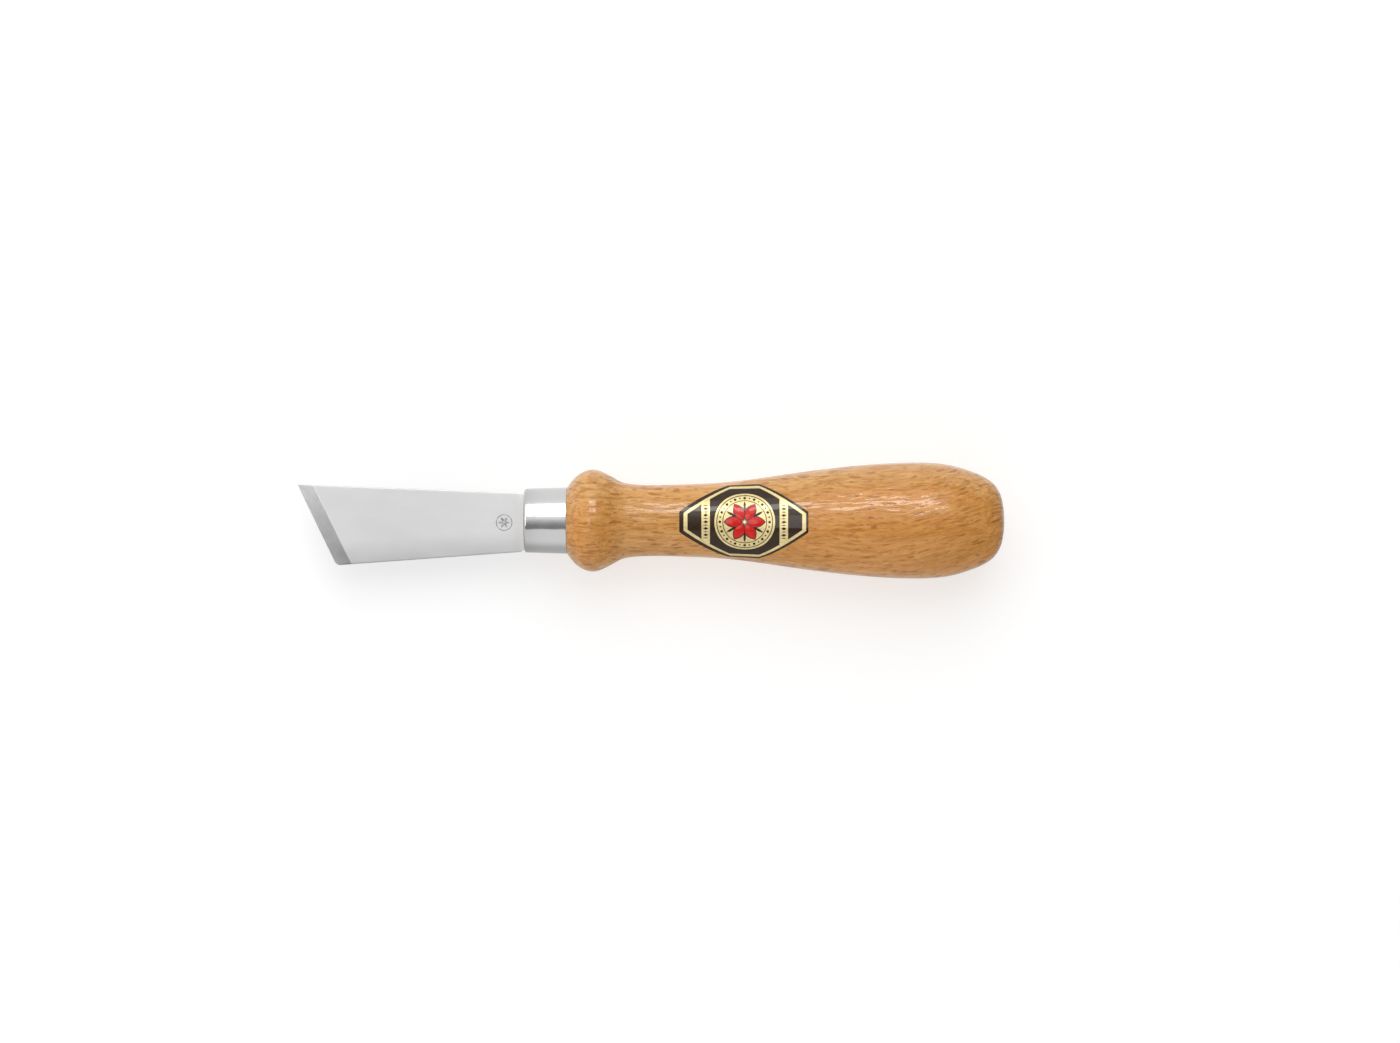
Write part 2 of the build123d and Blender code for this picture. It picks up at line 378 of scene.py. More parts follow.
# ---------------------------------------------------------------- node helpers
class Nodes:
    """Adds nodes to one node tree, and gives their outputs."""

    def __init__(self, tree):
        self.tree = tree

    def node(self, kind, inputs, output=0, **settings):
        """Adds a node, sets or links its inputs, and gives one of its outputs."""
        made = self.tree.nodes.new(kind)
        for setting, value in settings.items():
            setattr(made, setting, value)
        for socket, value in inputs.items():
            if isinstance(value, bpy.types.NodeSocket):
                self.tree.links.new(value, made.inputs[socket])
            else:
                made.inputs[socket].default_value = value
        return made.outputs[output]

    def math(self, operation, a, b=0.0, c=0.0):
        return self.node("ShaderNodeMath", {0: a, 1: b, 2: c}, operation=operation)

    def split(self, vector):
        """The three parts of a vector or of a colour."""
        made = self.tree.nodes.new("ShaderNodeSeparateXYZ")
        self.tree.links.new(vector, made.inputs[0])
        return made.outputs

    def ease(self, value, low, high, out_low=0.0, out_high=1.0):
        """Maps a value from low..high to out_low..out_high along a smooth step."""
        inputs = {"Value": value, "From Min": low, "From Max": high,
                  "To Min": out_low, "To Max": out_high}
        return self.node("ShaderNodeMapRange", inputs, interpolation_type="SMOOTHSTEP")

    def mix_values(self, factor, a, b):
        """Mixes two numbers, which are inputs 2 and 3 of the node."""
        return self.node("ShaderNodeMix", {0: factor, 2: a, 3: b})


class Graph(Nodes):
    """The node tree of one material, built round its Principled shader."""

    def __init__(self, name, **finish):
        self.material = bpy.data.materials.new(name)
        self.material.use_nodes = True
        super().__init__(self.material.node_tree)
        self.shader = self.tree.nodes["Principled BSDF"]
        for socket, value in finish.items():
            self.shader.inputs[socket.replace("_", " ")].default_value = value
        self.place = self.vector("MULTIPLY", self.node("ShaderNodeTexCoord", {}, "Object"), [1 / MM] * 3)

    def vector(self, operation, a, b):
        return self.node("ShaderNodeVectorMath", {0: a, 1: b}, operation=operation)

    def dot(self, a, b):
        return self.node("ShaderNodeVectorMath", {0: a, 1: b}, "Value", operation="DOT_PRODUCT")

    def noise(self, vector, scale=1.0, detail=2.0, roughness=0.5, output="Fac"):
        inputs = {"Vector": vector, "Scale": scale, "Detail": detail, "Roughness": roughness}
        return self.node("ShaderNodeTexNoise", inputs, output)

    def stretched(self, vector, factors, **settings):
        """Noise that varies at a different rate along each axis, in cycles per millimetre."""
        return self.noise(self.vector("MULTIPLY", vector, factors), **settings)

    def mix(self, factor, a, b, blend="MIX"):
        """Mixes two colours, which are inputs 6 and 7 of the node and its output 2."""
        return self.node("ShaderNodeMix", {0: factor, 6: a, 7: b}, 2, data_type="RGBA", blend_type=blend)

    def shift(self, noise, reach):
        """Turns the colour of some noise into a shift, either way, for each axis."""
        return self.vector("MULTIPLY", self.vector("SUBTRACT", noise, MIDDLE_OF_NOISE), reach)

    def bump(self, height, distance):
        return self.node("ShaderNodeBump", {"Height": height, "Distance": distance * MM, "Strength": 1.0})

    def link(self, value, socket):
        self.tree.links.new(value, self.shader.inputs[socket])


def rgb(red, green, blue):
    return (red, green, blue, 1.0)


# ---------------------------------------------------------------- materials
def fleck_layer(g, place, cell, half_length, half_width, share):
    """Lens-shaped marks along the grain, at most one in each cell, in this share of the cells."""
    scaled = g.vector("DIVIDE", place, cell)
    cells = g.tree.nodes.new("ShaderNodeTexVoronoi")
    cells.inputs["Scale"].default_value = 1.0
    cells.inputs["Randomness"].default_value = 1.0
    g.tree.links.new(scaled, cells.inputs["Vector"])
    offset = g.vector("MULTIPLY", g.vector("SUBTRACT", scaled, cells.outputs["Position"]), cell)
    along, across, _ = g.split(offset)
    chance, size, shade = g.split(cells.outputs["Color"])
    length = g.math("MULTIPLY_ADD", size, half_length, half_length * 0.55)
    x_share = g.math("DIVIDE", along, length)
    y_share = g.math("ABSOLUTE", g.math("DIVIDE", across, half_width))
    reach = g.math("ADD", g.math("MULTIPLY", x_share, x_share), y_share)
    inside = g.ease(reach, 1.15, 0.35)
    present = g.ease(chance, share + 0.02, share - 0.02)
    depth = g.math("MULTIPLY_ADD", shade, 0.6, 0.4)
    return g.math("MULTIPLY", g.math("MULTIPLY", inside, present), depth)


def grain_place(g):
    """Places in the wood, bent so that the grain drifts and waves, and runs out towards the butt."""
    drift = g.stretched(g.place, (0.022, 0.06, 0.06), detail=2.0, output="Color")
    wave = g.stretched(g.place, (0.10, 0.16, 0.16), detail=2.0, output="Color")
    place = g.vector("ADD", g.place, g.shift(drift, (0.0, 5.0, 6.0)))
    place = g.vector("ADD", place, g.shift(wave, (0.0, 1.6, 1.6)))
    past = g.math("MAXIMUM", g.math("SUBTRACT", g.split(g.place)[0], GRAIN_RUN_OUT_X), 0.0)
    rise = g.math("MULTIPLY", g.math("MULTIPLY", past, past), GRAIN_RUN_OUT)
    return g.vector("SUBTRACT", place, g.node("ShaderNodeCombineXYZ", {1: rise}))


def distance_from_pith(g, place):
    _, y, z = g.split(place)
    from_pith = g.node("ShaderNodeCombineXYZ", {0: g.math("SUBTRACT", y, PITH[0]),
                                                1: g.math("SUBTRACT", z, PITH[1])})
    return g.node("ShaderNodeVectorMath", {0: from_pith}, "Value", operation="LENGTH")


def ray_flecks(g, place):
    """The long, short and streaky flecks that rays leave in beech, each with its ends torn a little."""
    jitter = g.stretched(place, (0.8, 1.6, 1.6), detail=2.0, output="Color")
    torn = g.vector("ADD", place, g.shift(jitter, (1.1, 0.45, 0.45)))
    long_flecks = fleck_layer(g, torn, (5.2, 1.9, 16.0), 1.6, 0.34, 0.55)
    moved = g.vector("ADD", torn, (7.3, 3.1, 11.0))
    short_flecks = fleck_layer(g, moved, (2.6, 1.2, 9.0), 0.8, 0.22, 0.62)
    moved = g.vector("ADD", torn, (3.9, 6.4, 2.0))
    streaks = fleck_layer(g, moved, (8.0, 1.5, 12.0), 3.2, 0.28, 0.65)
    return long_flecks, short_flecks, streaks


def beech():
    """Lacquered beech: ochre tan, with wavy fibres, faint rings, short dark ray flecks, and painted shade
    that makes it redder away from the key light.
    """
    g = Graph("lacquered_beech", Roughness=0.5, Specular_IOR_Level=0.05,
              Coat_Weight=1.0, Coat_Roughness=0.06, Coat_IOR=1.42)
    place = grain_place(g)
    radius = distance_from_pith(g, place)
    rings = g.noise(g.node("ShaderNodeCombineXYZ", {0: radius}), scale=0.4, detail=3.0, roughness=0.55)
    fibres = g.stretched(place, (0.08, 1.0, 1.0), detail=3.0, roughness=0.6)
    fine = g.stretched(place, (0.3, 3.2, 3.2), detail=3.0, roughness=0.65)
    moved = g.vector("ADD", place, (60.0, 0.0, 0.0))
    cloud = g.stretched(moved, (0.05, 0.16, 0.16), detail=3.0, roughness=0.6)
    mottle = g.stretched(place, (0.35, 0.6, 0.6), detail=3.0, roughness=0.6)
    long_flecks, short_flecks, streaks = ray_flecks(g, place)

    colour = g.mix(g.ease(fibres, 0.34, 0.66), rgb(0.475, 0.196, 0.042), rgb(0.805, 0.438, 0.156))
    colour = g.mix(g.ease(rings, 0.35, 0.7, 0.0, 0.5), colour, rgb(0.780, 0.440, 0.155))
    # Painted shade: the wood is painted redder on its top and on the side away from the key light.
    colour = g.mix(g.ease(radius, *REDDER_SHADE_SPAN, 0.0, 0.5), colour, rgb(0.790, 0.290, 0.045))
    x = g.split(g.place)[0]
    waist = g.math("MULTIPLY", g.ease(x, *WAIST[:2]), g.ease(x, *WAIST[2:]))
    colour = g.mix(g.math("MULTIPLY", waist, 0.35), colour, rgb(0.880, 0.450, 0.140))
    colour = g.mix(g.ease(cloud, 0.4, 0.68, 0.0, 0.5), colour, rgb(0.590, 0.245, 0.038))
    colour = g.mix(g.ease(mottle, 0.5, 0.72, 0.0, 0.4), colour, rgb(0.740, 0.410, 0.100))
    colour = g.mix(g.ease(fine, 0.48, 0.72, 0.0, 0.6), colour, rgb(0.440, 0.160, 0.020))
    colour = g.mix(g.ease(fine, 0.50, 0.28, 0.0, 0.4), colour, rgb(0.900, 0.500, 0.170))
    colour = g.mix(g.math("MULTIPLY", streaks, 0.55), colour, rgb(0.420, 0.145, 0.016))
    colour = g.mix(g.math("MULTIPLY", short_flecks, 0.65), colour, rgb(0.370, 0.120, 0.010))
    colour = g.mix(g.math("MULTIPLY", long_flecks, 0.75), colour, rgb(0.350, 0.112, 0.008))
    g.link(colour, "Base Color")

    grain = g.math("MULTIPLY_ADD", fine, 0.5, fibres)
    grain = g.math("SUBTRACT", grain, g.math("ADD", long_flecks, short_flecks))
    g.link(g.bump(grain, 0.03), "Normal")
    ripple = g.stretched(place, (0.1, 0.6, 0.6), detail=1.0)
    telegraphed = g.math("MULTIPLY_ADD", ripple, 2.6, g.math("MULTIPLY", grain, 0.2))
    g.link(g.bump(telegraphed, 0.12), "Coat Normal")
    return g.material


def blade_steel():
    """Lapped blade steel: satin, with very fine lengthwise brushing and faint clouds.

    It is painted a little paler towards the ferrule, and paler still right beside it: painted light that
    evens out the face's lighting and lifts the shade by the ferrule.
    """
    g = Graph("blade_steel", Metallic=1.0, Roughness=0.4)
    brushing = g.stretched(g.place, (0.25, 14.0, 14.0), detail=3.0, roughness=0.65)
    cloud = g.stretched(g.place, (0.12, 0.3, 0.3), detail=3.0)
    handling = g.stretched(g.place, (0.6, 1.4, 1.4), detail=4.0, roughness=0.7)
    colour = g.mix(g.ease(cloud, 0.3, 0.7), rgb(0.462, 0.462, 0.462), rgb(0.484, 0.484, 0.484))
    colour = g.mix(g.ease(brushing, 0.3, 0.75, 0.0, 0.2), colour, rgb(0.42, 0.42, 0.42))
    colour = g.mix(g.ease(handling, 0.62, 0.8, 0.0, 0.15), colour, rgb(0.405, 0.405, 0.402))
    # Painted light: the face is painted paler towards the ferrule, and paler still right beside it.
    before_root = g.math("SUBTRACT", ROOT_X, g.split(g.place)[0])
    painted_light_ramp = g.ease(before_root, *PAINTED_LIGHT_SPAN, 1.08, 1.0)
    painted_light = g.math("MULTIPLY", painted_light_ramp, g.ease(before_root, *PAINTED_ROOT_LIGHT_SPAN, 1.15, 1.0))
    tone = g.node("ShaderNodeCombineXYZ", {0: painted_light, 1: painted_light, 2: painted_light})
    g.link(g.mix(1.0, colour, tone, blend="MULTIPLY"), "Base Color")
    worn = g.math("MULTIPLY_ADD", cloud, 0.10, 0.36)
    g.link(g.math("MULTIPLY_ADD", brushing, 0.08, worn), "Roughness")
    g.link(g.bump(brushing, 0.003), "Normal")
    return g.material


def ground_steel(tip, heel):
    """The bevels: honed metal with grinding lines along the edge, and painted shade that darkens them from
    the tip towards the heel.
    """
    g = Graph("ground_steel", Metallic=1.0, Roughness=0.3)
    along = (math.sin(SKEW), -math.cos(SKEW), 0.0)
    across = (math.cos(SKEW), math.sin(SKEW), 0.0)
    down = g.dot(g.vector("SUBTRACT", g.place, (*tip, 0.0)), along)
    line_place = g.node("ShaderNodeCombineXYZ", {0: down, 1: g.dot(g.place, across)})
    lines = g.stretched(line_place, (0.5, 4.5, 1.0), detail=3.0, roughness=0.7)
    speckle = g.noise(g.place, scale=5.0, detail=3.0)
    patches = g.noise(g.place, scale=0.35, detail=2.0)
    colour = g.mix(g.ease(lines, 0.28, 0.75), rgb(0.56, 0.56, 0.56), rgb(0.72, 0.72, 0.72))
    colour = g.mix(g.ease(speckle, 0.55, 0.75, 0.0, 0.35), colour, rgb(0.75, 0.75, 0.75))
    colour = g.mix(g.ease(patches, 0.3, 0.7, 0.0, 0.3), colour, rgb(0.53, 0.53, 0.53))
    # Painted shade: the bevel is painted darker from the tip towards the heel.
    length = (heel - tip).length
    painted_heel_shade = g.ease(down, -0.1 * length, 0.75 * length, 1.0, 0.62)
    painted_heel_shade = g.math("MULTIPLY", painted_heel_shade, g.ease(down, 0.7 * length, 1.05 * length, 1.0, 0.68))
    tone = g.node("ShaderNodeCombineXYZ", {0: painted_heel_shade, 1: painted_heel_shade, 2: painted_heel_shade})
    g.link(g.mix(1.0, colour, tone, blend="MULTIPLY"), "Base Color")
    g.link(g.math("MULTIPLY_ADD", lines, 0.16, 0.24), "Roughness")
    g.link(g.bump(lines, 0.008), "Normal")
    return g.material


def struck_shade_steel():
    """The bottom of the struck mark, painted dark: painted shade in the recess, with old polish and tarnish.
    """
    g = Graph("struck_shade_steel", Metallic=1.0, Roughness=0.5)
    grime_and_shade = g.noise(g.place, scale=1.3, detail=3.0)
    # Painted shade and tarnish: the mark's floor is painted dark grey.
    g.link(g.mix(g.ease(grime_and_shade, 0.4, 0.6), rgb(0.14, 0.14, 0.14), rgb(0.34, 0.34, 0.34)), "Base Color")
    g.link(g.bump(grime_and_shade, 0.02), "Normal")
    return g.material


def nickel():
    """Polished nickel plating, with painted shade that darkens it towards the blade, and hairline rings and
    handling marks.
    """
    g = Graph("polished_nickel", Metallic=1.0, Roughness=0.1)
    rings = g.stretched(g.place, (16.0, 0.08, 0.08), detail=3.0, roughness=0.7)
    ripple = g.stretched(g.place, (0.25, 0.35, 0.35), detail=2.0)
    rubs = g.stretched(g.place, (1.2, 1.6, 1.6), detail=5.0, roughness=0.75)
    colour = g.mix(g.ease(rubs, 0.55, 0.8, 0.0, 0.5), rgb(0.68, 0.68, 0.677), rgb(0.60, 0.60, 0.597))
    colour = g.mix(g.ease(rings, 0.3, 0.8, 0.0, 0.2), colour, rgb(0.58, 0.58, 0.577))
    # Painted shade: the plating is painted darker towards the blade.
    behind_front = g.math("SUBTRACT", g.split(g.place)[0], ROOT_X)
    left = g.math("MAXIMUM", g.math("MULTIPLY_ADD", behind_front, -1 / PAINTED_SHADE_LENGTH, 1.0), 0.0)
    painted_front_shade = g.math("MULTIPLY", g.math("MULTIPLY", left, left), 0.5)
    g.link(g.mix(painted_front_shade, colour, rgb(0.45, 0.45, 0.448)), "Base Color")
    worn = g.ease(rubs, 0.45, 0.8, 0.085, 0.2)
    g.link(g.math("MULTIPLY_ADD", rings, 0.05, worn), "Roughness")
    height = g.math("MULTIPLY_ADD", rings, 0.04, ripple)
    g.link(g.bump(height, 0.05), "Normal")
    return g.material


def label_print(name, pale, deep, **finish):
    """One printed colour of the label under its lacquer, with the mottle and pinholes of real ink."""
    g = Graph(name, Specular_IOR_Level=0.1, Coat_Weight=0.45, Coat_Roughness=0.07, Coat_IOR=1.5, **finish)
    mottle = g.noise(g.place, scale=1.1, detail=4.0, roughness=0.6)
    dots = g.noise(g.place, scale=9.0, detail=2.0)
    colour = g.mix(g.ease(mottle, 0.3, 0.7), rgb(*deep), rgb(*pale))
    g.link(g.mix(g.ease(dots, 0.62, 0.8, 0.0, 0.4), colour, rgb(*pale)), "Base Color")
    g.link(g.bump(dots, 0.004), "Normal")
    wrinkle = g.noise(g.place, scale=0.5, detail=3.0)
    g.link(g.bump(wrinkle, 0.02), "Coat Normal")
    return g.material


def paper():
    """The plain pale ground that the tool lies on."""
    g = Graph("pale_ground", Roughness=0.85, Emission_Color=rgb(1.0, 1.0, 1.0), Emission_Strength=0.56)
    tone = g.noise(g.place, scale=0.02, detail=3.0)
    g.link(g.mix(tone, rgb(0.55, 0.55, 0.55), rgb(0.57, 0.57, 0.57)), "Base Color")
    return g.material


# ---------------------------------------------------------------- handle
def handle_outline():
    """The outline behind the ferrule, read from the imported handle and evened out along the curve."""
    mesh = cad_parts["handle"].data
    points = np.empty(len(mesh.vertices) * 3)
    mesh.vertices.foreach_get("co", points)
    points = points.reshape(-1, 3) / MM
    radius = np.hypot(points[:, 1], points[:, 2])
    wood = (radius > SKIN_LEAST_RADIUS) | (points[:, 0] > BUTT_X - BUTT_STRETCH)
    wood &= (radius > BUTT_FLAT_RADIUS) & (points[:, 0] > SHOULDER_X - NEAR)
    place = np.round(points[wood, 0], 3)
    x = np.unique(place)
    r = np.array([radius[wood][place == value].max() for value in x])
    run = np.concatenate(([0.0], np.cumsum(np.hypot(np.diff(x), np.diff(r)))))
    even = np.linspace(0.0, run[-1], int(run[-1] / FINE_STEP / RING_EVERY) * RING_EVERY + 1)
    line = np.stack((np.interp(even, run, x), np.interp(even, run, r)))
    for _ in range(SMOOTHING_PASSES):
        line[:, 1:-1] = (line[:, :-2] + 2 * line[:, 1:-1] + line[:, 2:]) / 4
    return line[0], line[1]


def tang_flat(margin):
    """The tang's outline in the plane of the blade."""
    back = ROOT_X - TANG_OVERLAP
    point = BLADE_HIGH.x + margin
    taper_end = BLADE_HIGH.x - TANG_POINT_LENGTH
    return flat_mesh([
        (back, -TANG_WIDTH / 2 - margin),
        (ROOT_X, -TANG_WIDTH / 2 - margin),
        (taper_end, -TANG_END_WIDTH / 2 - margin),
        (point, 0),
        (taper_end, TANG_END_WIDTH / 2 + margin),
        (ROOT_X, TANG_WIDTH / 2 + margin),
        (back, TANG_WIDTH / 2 + margin),
    ])


def tang(material, margin=0.0):
    half = TANG_HALF_THICKNESS + margin
    solid = bmesh.new()
    add_slab(solid, tang_flat(margin), lambda x, y: (x, y, half), lambda x, y: (x, y, -half))
    return make_object("tang_tool", solid, material)


def build_handle(outline, wood):
    front = ROOT_X + FERRULE_WALL
    tenon = [
        (front + PILOT_DEPTH, 0.0),
        (front + PILOT_DEPTH, PILOT_RADIUS),
        (front, PILOT_RADIUS),
        (front, FERRULE_FRONT_RADIUS - FERRULE_WALL),
        (SHOULDER_X, FERRULE_REAR_RADIUS - FERRULE_WALL),
    ]
    skin = list(zip(outline[0][::RING_EVERY], outline[1][::RING_EVERY]))
    solid = turned(tenon + skin + [(BUTT_X, 0.0)], TURNING_SEGMENTS)
    handle = make_object("beech_handle", solid, wood)
    combine(handle, tang(wood, SOCKET_CLEARANCE), "DIFFERENCE")
    finish_piece(handle, TURNED_SMOOTH, "handle")


# ---------------------------------------------------------------- ferrule
def build_ferrule(plating):
    rear = SHOULDER_X
    outline = rounded([
        (ROOT_X, LIP_RADIUS, LIP_ROUNDING),
        (ROOT_X, FERRULE_FRONT_RADIUS, FERRULE_EDGE_RADIUS),
        (rear, FERRULE_REAR_RADIUS, FERRULE_REAR_BREAK),
        (rear, FERRULE_REAR_RADIUS - FERRULE_WALL, 0),
        (ROOT_X + FERRULE_WALL, FERRULE_FRONT_RADIUS - FERRULE_WALL, 0),
        (ROOT_X + FERRULE_WALL, LIP_RADIUS, 0),
    ])
    ferrule = make_object("plated_ferrule", turned(outline, TURNING_SEGMENTS, closed=True), plating)
    finish_piece(ferrule, TURNED_SMOOTH, "ferrule", weighted=True)


# ---------------------------------------------------------------- blade
def blade_corners():
    """The blade's tip, heel, lower root corner and upper root corner."""
    length = ROOT_X - TIP_X
    tip = Vector((TIP_X, BLADE_HIGH.y))
    drop = tip.y + ROOT_BELOW_AXIS + length * math.tan(LOWER_FLARE)
    heel_drop = drop / (1 + math.tan(SKEW) * math.tan(LOWER_FLARE))
    heel = tip + Vector((heel_drop * math.tan(SKEW), -heel_drop))
    lower_root = Vector((ROOT_X, -ROOT_BELOW_AXIS))
    upper_root = Vector((ROOT_X, tip.y - length * math.tan(UPPER_FLARE)))
    return tip, heel, lower_root, upper_root


def side_of(a, b):
    """A point on the line from a to b, and its unit normal on the left-hand side."""
    along = (b - a).normalized()
    return a, Vector((-along.y, along.x))


def crown_height(distance, width, slope, rounding):
    """Half the blade's thickness at this distance from an edge with such a crown."""
    span = width - rounding
    fall = span * math.tan(slope / 2)
    if distance >= width:
        return HALF_THICKNESS
    if distance >= rounding:
        return HALF_THICKNESS - fall * ((width - distance) / span) ** 2
    sunk = rounding - max(distance, 0.0)
    return HALF_THICKNESS - fall - rounding + math.sqrt(rounding ** 2 - sunk ** 2)


def bevel_share(distance):
    """How much of the blade's thickness the bevels leave, this far in from the cutting edge."""
    share = distance / BEVEL_WIDTH
    blend = BEVEL_BLEND / BEVEL_WIDTH
    if share >= 1 + blend:
        return 1.0
    if share <= 1 - blend:
        return max(share, 0.0)
    return share - (share - 1 + blend) ** 2 / (4 * blend)


def mark_tool(material):
    """A ring and six petals that stand in the blade's upper face."""
    centre = (ROOT_X - MARK_FROM_ROOT, -MARK_BELOW_AXIS)
    low = HALF_THICKNESS - MARK_DEPTH
    high = HALF_THICKNESS + MARK_DEPTH
    solid = bmesh.new()
    outlines = [[
        circle(centre, MARK_RADIUS, MARK_RING_STEPS),
        circle(centre, MARK_RADIUS - MARK_LINE, MARK_RING_STEPS),
    ]]
    for i in range(PETAL_COUNT):
        outlines.append([petal(centre, *MARK_PETAL, i * 2 * math.pi / PETAL_COUNT)])
    for loops in outlines:
        add_slab(solid, flat_mesh(*loops), lambda x, y: (x, y, high), lambda x, y: (x, y, low))
    return make_object("mark_tool", solid, material)


def build_blade(face, ground, struck):
    tip, heel, lower_root, upper_root = blade_corners()
    outline = rounded([
        (*tip, TIP_RADIUS),
        (*heel, HEEL_RADIUS),
        (*lower_root, ROOT_CORNER_RADIUS),
        (*upper_root, ROOT_CORNER_RADIUS),
    ])
    flat = flat_mesh(outline)
    sides = [
        (*side_of(heel, lower_root), LOWER_CROWN),
        (*side_of(upper_root, tip), UPPER_CROWN),
        (*side_of(lower_root, upper_root), ROOT_CROWN),
    ]
    for (point, inward, _), lines in zip(sides, (LOWER_LINES, UPPER_LINES, ROOT_LINES)):
        for distance in lines:
            cut_line(flat, point + inward * distance, inward)
    for x in np.arange(TIP_X + CROSS_LINE_STEP, ROOT_X, CROSS_LINE_STEP):
        cut_line(flat, (x, 0), (1, 0))

    edge, from_edge = side_of(tip, heel)
    for distance in BEVEL_LINES:
        cut_line(flat, edge + from_edge * distance, from_edge)

    def height(x, y):
        place = Vector((x, y))
        crown = min(crown_height((place - point).dot(inward), *crown) for point, inward, crown in sides)
        land = EDGE_LAND / 2
        return land + (crown - land) * bevel_share((place - edge).dot(from_edge))

    solid = bmesh.new()
    add_slab(solid, flat, lambda x, y: (x, y, height(x, y)), lambda x, y: (x, y, -height(x, y)))
    for wall in solid.faces:
        if (wall.calc_center_median().xy - edge).dot(from_edge) < BEVEL_WIDTH:
            wall.material_index = 1
    blade = make_object("steel_blade", solid, face, ground, struck)
    combine(blade, tang(face), "UNION")
    combine(blade, mark_tool(struck), "DIFFERENCE")
    finish_piece(blade, BLADE_SMOOTH, "blade", weighted=True)


# ---------------------------------------------------------------- label
def label_octagon(inset, slanted_inset, shift=0.0):
    """The label's outline, drawn this far inside its straight and slanted edges and moved along it."""
    corners = [
        Vector((side * LABEL_HALF_LENGTH, other * LABEL_END_HALF_WIDTH)) if end else
        Vector((side * LABEL_SIDE_HALF_LENGTH, other * LABEL_HALF_WIDTH))
        for side, other, end in (
            (1, -1, True), (1, 1, True), (1, 1, False), (-1, 1, False),
            (-1, 1, True), (-1, -1, True), (-1, -1, False), (1, -1, False),
        )
    ]
    lines = [side_of(a, b) for a, b in zip(corners, corners[1:] + corners[:1])]
    outline = []
    insets = (inset, slanted_inset) * 4
    for i, (start, inward) in enumerate(lines):
        last_start, last_inward = lines[i - 1]
        normals = np.array((tuple(last_inward), tuple(inward)))
        distances = (last_inward.dot(last_start) + insets[i - 1], inward.dot(start) + insets[i])
        u, v = np.linalg.solve(normals, np.array(distances))
        outline.append((u + shift, v))
    return outline


def clipped(outline, low_u, high_u, half_width):
    """The part of an outline between two places along the label, as a flat mesh."""
    flat = flat_mesh(outline)
    for point, normal in (
        ((low_u, 0), (-1, 0)), ((high_u, 0), (1, 0)),
        ((0, half_width), (0, 1)), ((0, -half_width), (0, -1)),
    ):
        bmesh.ops.bisect_plane(
            flat, geom=flat.verts[:] + flat.edges[:] + flat.faces[:], dist=1e-4,
            plane_co=(*point, 0), plane_no=(*normal, 0), clear_outer=True,
        )
    return flat


class LabelPrint:
    """One printed colour of the label: thin closed plates bent round the handle."""

    def __init__(self, outline):
        self.outline = outline
        self.solid = bmesh.new()

    def surface(self, u, v, height):
        x = LABEL_X + u
        wood = np.interp(x, *self.outline)
        angle = v / wood - LABEL_TURN
        return (x, (wood + height) * math.sin(angle), (wood + height) * math.cos(angle))

    def plate(self, flat, low, high):
        """Adds one plate. Its top is at a fixed height, or at the height that high(u, v) gives."""
        us = [v.co.x for v in flat.verts]
        vs = [v.co.y for v in flat.verts]
        for u in np.arange(math.ceil(min(us) / GRID_U), max(us) / GRID_U) * GRID_U:
            cut_line(flat, (u, 0), (1, 0))
        for v in np.arange(math.ceil(min(vs) / GRID_V), max(vs) / GRID_V) * GRID_V:
            cut_line(flat, (0, v), (0, 1))
        top = high if callable(high) else lambda u, v: high
        add_slab(
            self.solid, flat,
            lambda u, v: self.surface(u, v, top(u, v)),
            lambda u, v: self.surface(u, v, low),
        )

    def finish(self, name, material, slot):
        finish_piece(make_object(name, self.solid, material), LABEL_SMOOTH, "label")


def dome(centre, start, end, half_width, angle):
    """The height of an enamelled petal, which swells in the middle."""
    def height(u, v):
        u, v = u - centre[0], v - centre[1]
        along = u * math.cos(angle) + v * math.sin(angle)
        across = v * math.cos(angle) - u * math.sin(angle)
        share = min(max((along - start) / (end - start), 0.0), 1.0)
        width = max(half_width * 4 * share * (1 - share), 1e-3)
        swell = max(1 - (across / width) ** 2, 0.0) * 4 * share * (1 - share)
        return DISC_INK_TOP + SINK + ENAMEL_DOME * swell
    return height


